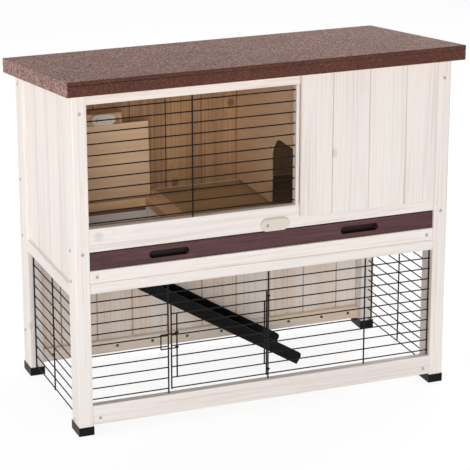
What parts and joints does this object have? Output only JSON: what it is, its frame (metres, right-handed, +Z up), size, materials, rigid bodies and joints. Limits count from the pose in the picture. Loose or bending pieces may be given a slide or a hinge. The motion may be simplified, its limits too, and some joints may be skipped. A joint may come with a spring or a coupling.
{
  "type": "rabbit hutch",
  "caption": "Wooden rabbit hutch: felt-covered lift-up roof, wire-fronted cabin and closed nest over a pull-out floor tray, with a lidded ramp hole, plastic ramp and wire run below.",
  "frame": {"origin": "on the ground, under the middle of the roof's outline", "axes": "+X to the right along the front, +Y to the back, +Z up"},
  "size_m": [0.97, 0.525, 0.851],
  "materials": {
    "whitewashed_wood": "thin white wash over pine",
    "natural_wood": "bare, lightly oiled",
    "plum_wood": "plum-brown stain",
    "tray_floor": "brown water-resistant coat",
    "button_wood": "off-white",
    "roof_felt": "mineral-grained roofing felt",
    "brown_fascia": "dark brown paint",
    "black_plastic": "moulded, satin",
    "black_wire": "black coated wire",
    "zinc": "zinc plated"
  },
  "bodies": {
    "frame": {"post_front_left": "whitewashed_wood", "post_front_right": "whitewashed_wood", "post_back_left": "whitewashed_wood", "post_back_right": "whitewashed_wood", "rail_front_bottom": "whitewashed_wood", "rail_front_run": "whitewashed_wood", "rail_front_mid": "whitewashed_wood", "rail_front_lip": "whitewashed_wood", "rail_front_top": "whitewashed_wood", "rail_side_left": "whitewashed_wood", "rail_side_right": "whitewashed_wood", "side_boards_left": "whitewashed_wood", "side_boards_right": "whitewashed_wood", "back_boards": "whitewashed_wood", "rail_back_top": "whitewashed_wood", "batten_back_bottom": "whitewashed_wood", "nest_board_1": "whitewashed_wood", "nest_board_2": "whitewashed_wood", "nest_board_3": "whitewashed_wood", "nest_board_4": "whitewashed_wood", "window_stile": "whitewashed_wood", "nest_partition": "natural_wood", "tray_guides": "natural_wood", "floor_bearer": "natural_wood", "hole_strip_right": "natural_wood", "hole_strip_back": "natural_wood", "inner_button_block": "natural_wood", "lid_stop": "natural_wood", "lid_ears": "natural_wood", "foot_caps": "black_plastic", "front_button_screw": "zinc", "inner_button_screw": "zinc", "lid_rod": "zinc", "ramp_rod": "zinc", "hinge_leaves_fixed": "zinc", "screw_heads": "zinc", "window_mesh": "black_wire", "run_mesh_left": "black_wire", "run_mesh_right": "black_wire", "run_top_wire": "black_wire", "side_mesh_left": "black_wire", "side_mesh_right": "black_wire"},
    "roof": {"roof_board": "natural_wood", "roof_fascia": "brown_fascia", "roof_felt": "roof_felt", "roof_batten_left": "natural_wood", "roof_batten_right": "natural_wood", "roof_batten_front": "natural_wood", "roof_batten_back": "natural_wood", "hinge_leaves_roof": "zinc"},
    "tray": {"tray_front": "plum_wood", "tray_panel": "tray_floor", "tray_runners": "natural_wood"},
    "front_button": {"front_button": "button_wood"},
    "wire_door": {"wire_door": "black_wire"},
    "door_hook": {"door_hook": "black_wire"},
    "hole_lid": {"hole_lid": "natural_wood"},
    "inner_button": {"inner_button": "button_wood"},
    "ramp": {"ramp": "black_plastic"}
  },
  "joints": [
    {"name": "roof_lift", "type": "hinge", "parent": "frame", "child": "roof", "pos_m": [0, 0.2307, 0.75232], "axis": [-1, 0, 0], "range_deg": [0, 90]},
    {"name": "tray_slide", "type": "slide", "parent": "frame", "child": "tray", "axis": [0, -1, 0], "range_m": [0, 0.3]},
    {"name": "front_button_turn", "type": "hinge", "parent": "frame", "child": "front_button", "pos_m": [0, -0.2265, 0.4578], "axis": [0, 1, 0], "continuous": true},
    {"name": "door_swing", "type": "hinge", "parent": "frame", "child": "wire_door", "pos_m": [0.0084, -0.2175, 0.19], "axis": [0, 0, 1], "range_deg": [0, 110]},
    {"name": "hook_swing", "type": "hinge", "parent": "wire_door", "child": "door_hook", "pos_m": [-0.2207, -0.2175, 0.202], "axis": [0, 0, 1], "range_deg": [0, 150]},
    {"name": "lid_fold", "type": "hinge", "parent": "frame", "child": "hole_lid", "pos_m": [-0.2885, 0.15248, 0.4445], "axis": [1, 0, 0], "range_deg": [0, 93]},
    {"name": "inner_button_turn", "type": "hinge", "parent": "frame", "child": "inner_button", "pos_m": [-0.2885, 0.15501, 0.64225], "axis": [0, 1, 0], "continuous": true},
    {"name": "ramp_lift", "type": "hinge", "parent": "frame", "child": "ramp", "pos_m": [-0.404, 0.06973, 0.363], "axis": [0, -1, 0], "range_deg": [0, 28]}
  ]
}
